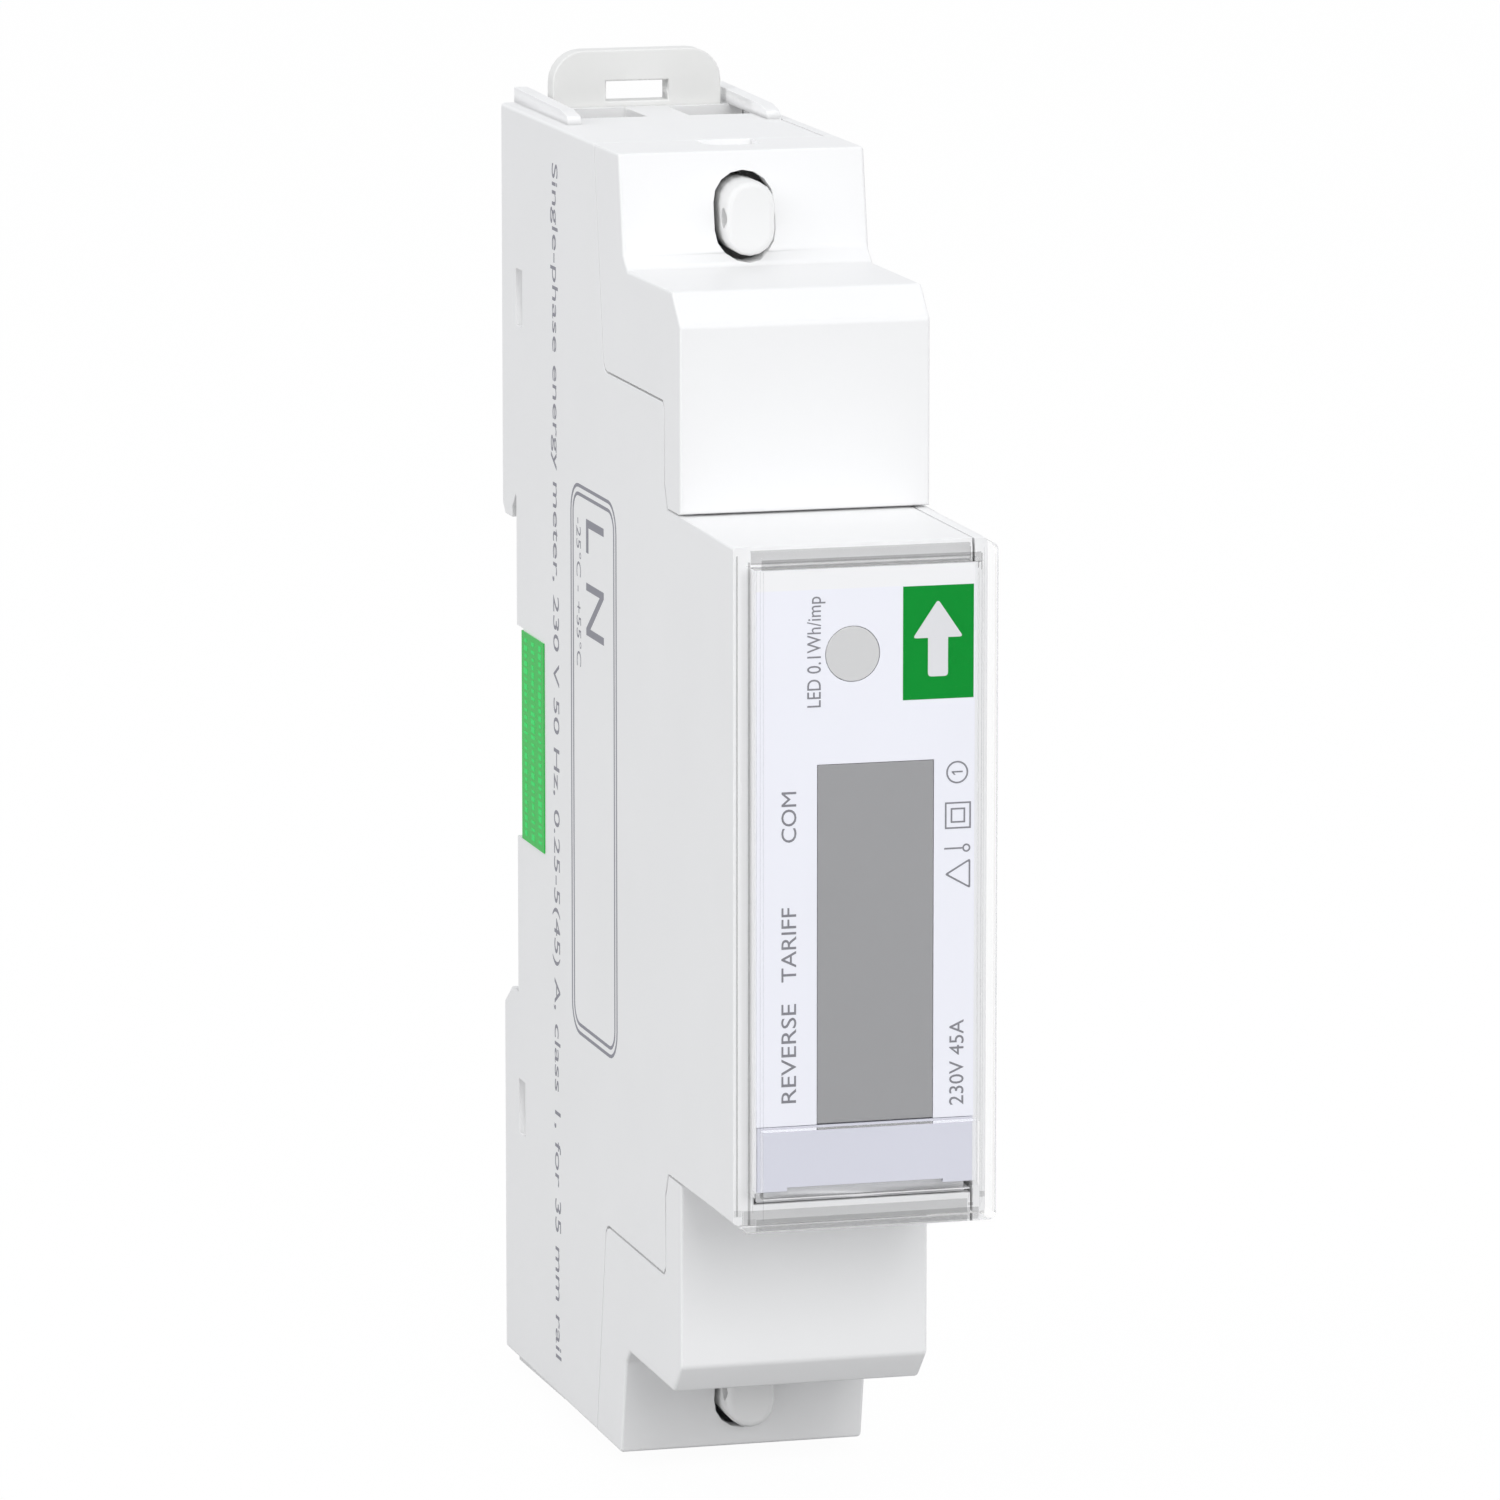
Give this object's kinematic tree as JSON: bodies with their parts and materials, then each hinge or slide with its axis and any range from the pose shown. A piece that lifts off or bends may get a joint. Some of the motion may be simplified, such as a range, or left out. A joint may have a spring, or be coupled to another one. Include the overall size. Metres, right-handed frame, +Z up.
{
  "type": "smart electric meter",
  "caption": "One-module smart electric meter for a 35 mm rail, with display, scroll key, sealable pull-off terminal covers and rising clamps.",
  "frame": {"origin": "on the plane the rail's face rests on, on the rail's centre line, at mid-width; the body's mid-height lies 0.8 mm above it", "axes": "+X to the right seen from the front, +Y from the front towards the rail behind the meter, +Z up along the meter's height"},
  "size_m": [0.0176, 0.0663, 0.0964],
  "materials": {
    "white_moulding": "fine satin moulded polycarbonate",
    "terminal_insulator": "satin moulded insulator",
    "clip_moulding": "satin moulded acetal",
    "clear_moulding": "clear polycarbonate",
    "face_film": "printed polyester film",
    "green_film": "green security film",
    "key_moulding": "pale grey-lilac moulded key",
    "light_pipe": "diffusing acrylic",
    "display_glass": "reflective display glass, switched off",
    "light_spreader": "white acrylic",
    "contact_rubber": "layered silicone contact strip",
    "circuit_board": "green solder mask on glass epoxy",
    "black_moulding": "black moulded epoxy or nylon",
    "plunger_red": "red acetal",
    "lamp_red": "red lamp body",
    "tinned_can": "pressed nickel silver can",
    "capacitor_sleeve": "dark blue sleeve",
    "capacitor_yellow": "yellow moulded case",
    "varistor_blue": "blue epoxy coating",
    "resistor_coat": "grey-green lacquer",
    "copper": "plain copper strip",
    "shunt_alloy": "manganin strip",
    "plated_brass": "nickel-plated brass",
    "zinc_steel": "zinc-plated steel",
    "spring_steel": "bright spring wire"
  },
  "bodies": {
    "meter": {"board_header": "black_moulding", "bridge_rectifier": "black_moulding", "clear_window": "clear_moulding", "clip_spring": "spring_steel", "contact_strip_left": "contact_rubber", "contact_strip_right": "contact_rubber", "crystal": "tinned_can", "current_shunt": "shunt_alloy", "display_board": "circuit_board", "electrolytic_capacitor": "capacitor_sleeve", "face_label": "face_film", "film_capacitor": "capacitor_yellow", "front_bezel": "white_moulding", "fuse_resistor": "resistor_coat", "housing_shell": "white_moulding", "input_choke": "black_moulding", "lcd_backlight": "light_spreader", "lcd_glass": "display_glass", "light_guide": "light_pipe", "live_bar_bottom": "copper", "live_bar_top": "copper", "main_board": "circuit_board", "memory_chip": "black_moulding", "metering_chip": "black_moulding", "microcontroller": "black_moulding", "neutral_bar": "copper", "pulse_led": "lamp_red", "seal_label": "green_film", "side_cover": "white_moulding", "switch_body": "black_moulding", "terminal_block_bottom": "terminal_insulator", "terminal_block_top": "terminal_insulator", "varistor": "varistor_blue"},
    "clip": {"din_clip": "clip_moulding"},
    "key": {"scroll_key": "key_moulding"},
    "plunger": {"switch_plunger": "plunger_red"},
    "cover_top": {"terminal_cover_top": "white_moulding"},
    "cover_bottom": {"terminal_cover_bottom": "white_moulding"},
    "screw_live_top": {"terminal_screw_live_top": "zinc_steel"},
    "cage_live_top": {"terminal_cage_live_top": "plated_brass"},
    "screw_neutral_top": {"terminal_screw_neutral_top": "zinc_steel"},
    "cage_neutral_top": {"terminal_cage_neutral_top": "plated_brass"},
    "screw_live_bottom": {"terminal_screw_live_bottom": "zinc_steel"},
    "cage_live_bottom": {"terminal_cage_live_bottom": "plated_brass"},
    "screw_neutral_bottom": {"terminal_screw_neutral_bottom": "zinc_steel"},
    "cage_neutral_bottom": {"terminal_cage_neutral_bottom": "plated_brass"}
  },
  "joints": [
    {"name": "clip_slide", "type": "slide", "parent": "meter", "child": "clip", "axis": [0, 0, 1], "range_m": [0, 0.003], "stiffness_N_per_m": 800, "springref_m": -0.005, "deforming": ["clip_spring"]},
    {"name": "key_press", "type": "slide", "parent": "meter", "child": "key", "axis": [0, 1, 0], "range_m": [0, 0.0004], "stiffness_N_per_m": 200, "springref_m": -0.004},
    {"name": "plunger_press", "type": "slide", "parent": "meter", "child": "plunger", "axis": [0, 1, 0], "range_m": [0, 0.0004]},
    {"name": "cover_top_pull", "type": "slide", "parent": "meter", "child": "cover_top", "axis": [0, -1, 0], "range_m": [0, 0.025]},
    {"name": "cover_bottom_pull", "type": "slide", "parent": "meter", "child": "cover_bottom", "axis": [0, -1, 0], "range_m": [0, 0.025]},
    {"name": "screw_live_top_turn", "type": "hinge", "parent": "meter", "child": "screw_live_top", "pos_m": [-0.00365, -0.0159, 0.038], "axis": [0, 1, 0], "range_deg": [0, 1982]},
    {"name": "cage_live_top_rise", "type": "slide", "parent": "meter", "child": "cage_live_top", "axis": [0, -1, 0], "range_m": [0, 0.00385]},
    {"name": "screw_neutral_top_turn", "type": "hinge", "parent": "meter", "child": "screw_neutral_top", "pos_m": [0.00495, -0.0159, 0.038], "axis": [0, 1, 0], "range_deg": [0, 1982]},
    {"name": "cage_neutral_top_rise", "type": "slide", "parent": "meter", "child": "cage_neutral_top", "axis": [0, -1, 0], "range_m": [0, 0.00385]},
    {"name": "screw_live_bottom_turn", "type": "hinge", "parent": "meter", "child": "screw_live_bottom", "pos_m": [-0.00365, -0.0159, -0.0364], "axis": [0, 1, 0], "range_deg": [0, 1982]},
    {"name": "cage_live_bottom_rise", "type": "slide", "parent": "meter", "child": "cage_live_bottom", "axis": [0, -1, 0], "range_m": [0, 0.00385]},
    {"name": "screw_neutral_bottom_turn", "type": "hinge", "parent": "meter", "child": "screw_neutral_bottom", "pos_m": [0.00495, -0.0159, -0.0364], "axis": [0, 1, 0], "range_deg": [0, 1982]},
    {"name": "cage_neutral_bottom_rise", "type": "slide", "parent": "meter", "child": "cage_neutral_bottom", "axis": [0, -1, 0], "range_m": [0, 0.00385]}
  ],
  "couplings": [
    {"joint": "plunger_press", "follows": "key_press", "ratio": 1},
    {"joint": "screw_live_top_turn", "follows": "cage_live_top_rise", "rad_per_m": 8976},
    {"joint": "screw_neutral_top_turn", "follows": "cage_neutral_top_rise", "rad_per_m": 8976},
    {"joint": "screw_live_bottom_turn", "follows": "cage_live_bottom_rise", "rad_per_m": 8976},
    {"joint": "screw_neutral_bottom_turn", "follows": "cage_neutral_bottom_rise", "rad_per_m": 8976}
  ]
}
